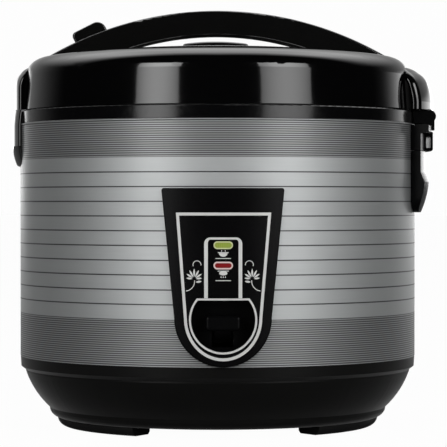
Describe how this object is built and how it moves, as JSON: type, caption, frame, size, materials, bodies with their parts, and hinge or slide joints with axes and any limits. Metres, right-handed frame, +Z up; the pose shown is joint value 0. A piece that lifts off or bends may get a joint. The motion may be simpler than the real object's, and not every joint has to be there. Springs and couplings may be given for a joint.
{
  "type": "rice cooker",
  "caption": "Round rice cooker with a striped metal body, black domed lid with arched handle, front lever panel, latch, side hinge and lift-out steam cap.",
  "frame": {"origin": "on the standing surface under the middle of the cooker's bounding box; the pot's axis is 3.55 mm towards -X of it", "axes": "+Z up, -Y is the front with the control panel, -X is the latch side, +X is the hinge side"},
  "size_m": [0.2736, 0.2602, 0.2675],
  "materials": {
    "printed_steel": "silver print with fine dark stripes, semi-gloss",
    "black_satin": "satin moulded plastic",
    "black_gloss": "polished moulded plastic",
    "black_foot": "matt moulded plastic",
    "zinc_steel": "zinc plated",
    "brass_pin": "plated brass",
    "bare_aluminium": "spun, satin",
    "cast_aluminium": "cast and faced",
    "pot_aluminium": "drawn, satin, with a lathe grain",
    "mica_band": "mica and foil band",
    "ferrite": "sintered",
    "brown_phenolic": "moulded phenolic",
    "white_ceramic": "fired ceramic",
    "green_lens": "tinted clear plastic",
    "red_lens": "tinted clear plastic",
    "lamp_glass": "clear",
    "silicone": "translucent silicone"
  },
  "bodies": {
    "cooker": {"body_shell": "printed_steel", "base_shell": "black_satin", "bottom_plate": "zinc_steel", "bottom_screws": "zinc_steel", "foot_front_left": "black_foot", "foot_front_right": "black_foot", "foot_rear": "black_foot", "power_inlet": "black_satin", "inlet_pins": "brass_pin", "collar_ring": "black_gloss", "inner_liner": "bare_aluminium", "side_heater": "mica_band", "heating_plate": "cast_aluminium", "plate_posts": "zinc_steel", "sensor_guide": "zinc_steel", "sensor_spring": "zinc_steel", "switch_bracket": "zinc_steel", "lever_pin": "zinc_steel", "micro_switch": "brown_phenolic", "warm_thermostat": "brown_phenolic", "thermal_fuse": "white_ceramic", "terminal_block": "white_ceramic", "control_panel": "black_gloss", "warm_lens": "green_lens", "cook_lens": "red_lens", "lamp_board": "brown_phenolic", "indicator_lamps": "lamp_glass", "latch_keeper": "black_gloss", "hinge_block": "black_satin", "hinge_pin": "zinc_steel"},
    "pot": {"inner_pot": "pot_aluminium"},
    "sensor": {"sensor_cup": "bare_aluminium", "sensor_ferrite": "ferrite"},
    "magnet": {"magnet": "ferrite"},
    "lever": {"cook_lever": "zinc_steel", "cook_paddle": "black_satin"},
    "lid": {"lid_outer": "black_gloss", "lid_frame": "black_satin", "lid_screws": "zinc_steel", "lid_seal": "silicone", "inner_lid": "bare_aluminium", "inner_lid_stud": "silicone", "steam_seat": "black_satin", "handle_cover": "black_gloss", "handle_underside": "black_satin", "latch_cover": "black_gloss", "latch_pin": "zinc_steel", "hinge_cover": "black_gloss", "hinge_arm": "black_satin"},
    "hook": {"latch_hook": "black_satin"},
    "button": {"release_button": "black_gloss"},
    "steam_cap": {"steam_cap": "black_gloss"},
    "dew_collector": {"dew_collector": "black_gloss"}
  },
  "joints": [
    {"name": "lid_hinge", "type": "hinge", "parent": "cooker", "child": "lid", "pos_m": [0.13165, 0, 0.199], "axis": [0, 1, 0], "range_deg": [0, 85]},
    {"name": "button_press", "type": "slide", "parent": "lid", "child": "button", "axis": [0.454, 0, -0.891], "range_m": [0, 0.004], "stiffness_N_per_m": 400, "springref_m": -0.003},
    {"name": "hook_swing", "type": "hinge", "parent": "lid", "child": "hook", "pos_m": [-0.12205, 0, 0.219], "axis": [0, 1, 0], "range_deg": [0, 5.7]},
    {"name": "cook_press", "type": "hinge", "parent": "cooker", "child": "lever", "pos_m": [-0.00355, -0.06, 0.0595], "axis": [1, 0, 0], "range_deg": [0, 7], "stiffness_Nm_per_rad": 0.6, "springref_deg": -5.73},
    {"name": "magnet_lift", "type": "slide", "parent": "cooker", "child": "magnet", "axis": [0, 0, 1], "range_m": [0, 0.0075]},
    {"name": "sensor_plunge", "type": "slide", "parent": "cooker", "child": "sensor", "axis": [0, 0, 1], "range_m": [-0.0012, 0], "stiffness_N_per_m": 500, "springref_m": 0.004, "deforming": ["sensor_spring"]},
    {"name": "cap_lift", "type": "slide", "parent": "lid", "child": "steam_cap", "axis": [0, 0, 1], "range_m": [0, 0.03]},
    {"name": "collector_slide", "type": "slide", "parent": "cooker", "child": "dew_collector", "axis": [0, 0, -1], "range_m": [0, 0.03]},
    {"name": "pot_turn", "type": "hinge", "parent": "cooker", "child": "pot", "pos_m": [-0.00355, 0, 0.15], "axis": [0, 0, 1], "continuous": true}
  ],
  "couplings": [
    {"joint": "hook_swing", "follows": "button_press", "rad_per_m": 24.6},
    {"joint": "magnet_lift", "follows": "cook_press", "m_per_rad": 0.0603}
  ]
}
